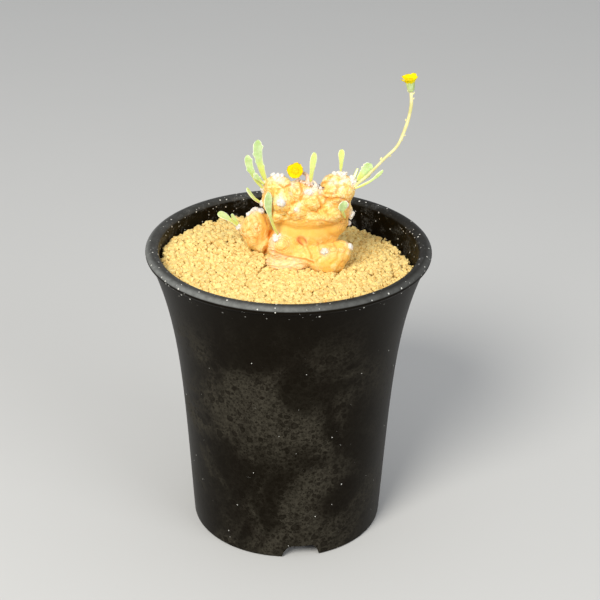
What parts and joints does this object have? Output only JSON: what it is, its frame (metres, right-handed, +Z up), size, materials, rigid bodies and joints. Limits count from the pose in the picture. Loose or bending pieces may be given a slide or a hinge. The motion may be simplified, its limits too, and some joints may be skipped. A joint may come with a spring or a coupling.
{
  "type": "potted othonna",
  "caption": "Caudex-forming othonna with a knobbly golden base, spoon-shaped leaves, woolly growing points and small yellow daisy flowers, in fine grit in a flared plastic pot.",
  "frame": {"origin": "on the pot's axis, in the plane its foot stands on", "axes": "+Z up along the pot's axis; -Y towards the plant's show side; +X towards its right, where the tall flower leans"},
  "size_m": [0.09, 0.09, 0.1534],
  "materials": {
    "pot_plastic": "dull black moulded plastic, mottled grey, with pale dust specks and fine scratches",
    "grit": "dry, dull, ochre-yellow clay granules",
    "caudex": "waxy golden-orange bark, wrinkled in rings round each growing point",
    "wool": "matted white hairs",
    "leaf": "fleshy, pale blue-green with a waxy bloom and a paler edge",
    "flower_stalk": "smooth, pale yellow-green",
    "pink_stalk": "smooth to dry, pinkish brown",
    "flower_cup": "smooth, pale green",
    "flower_disc": "powdery orange-yellow",
    "flower_ray": "soft, bright yellow"
  },
  "bodies": {
    "root": {"caudex": "caudex", "flower_stalk_short": "pink_stalk", "flower_stalk_tall": "flower_stalk", "grit": "grit", "leaf_front": "leaf", "leaf_left_outer": "leaf", "leaf_left_small": "leaf", "leaf_left_spur": "leaf", "leaf_left_tall": "leaf", "leaf_right_broad": "leaf", "leaf_right_front": "leaf", "leaf_right_low": "leaf", "leaf_right_shade": "leaf", "leaf_right_stub": "leaf", "leaf_right_top": "leaf", "leaf_side_inner": "leaf", "leaf_side_outer": "leaf", "leaf_top_middle": "leaf", "pot": "pot_plastic", "short_flower_cup": "flower_cup", "short_flower_disc": "flower_disc", "short_flower_ray_1": "flower_ray", "short_flower_ray_2": "flower_ray", "short_flower_ray_3": "flower_ray", "short_flower_ray_4": "flower_ray", "short_flower_ray_5": "flower_ray", "short_flower_ray_6": "flower_ray", "short_flower_ray_7": "flower_ray", "tall_flower_cup": "flower_cup", "tall_flower_disc": "flower_disc", "tall_flower_ray_1": "flower_ray", "tall_flower_ray_2": "flower_ray", "tall_flower_ray_3": "flower_ray", "tall_flower_ray_4": "flower_ray", "tall_flower_ray_5": "flower_ray", "tall_flower_ray_6": "flower_ray", "tall_flower_ray_7": "flower_ray", "withered_stalk": "pink_stalk", "wool_back_left": "wool", "wool_back_right": "wool", "wool_centre_front": "wool", "wool_centre_top": "wool", "wool_foot_front": "wool", "wool_foot_left": "wool", "wool_foot_tip": "wool", "wool_left_cluster": "wool", "wool_left_front": "wool", "wool_left_side": "wool", "wool_left_top": "wool", "wool_left_upper": "wool", "wool_middle_front": "wool", "wool_middle_top": "wool", "wool_right_brow": "wool", "wool_right_cluster": "wool", "wool_right_low": "wool", "wool_right_side": "wool", "wool_right_top": "wool", "wool_side_knob": "wool", "wool_side_top": "wool"}
  },
  "joints": []
}
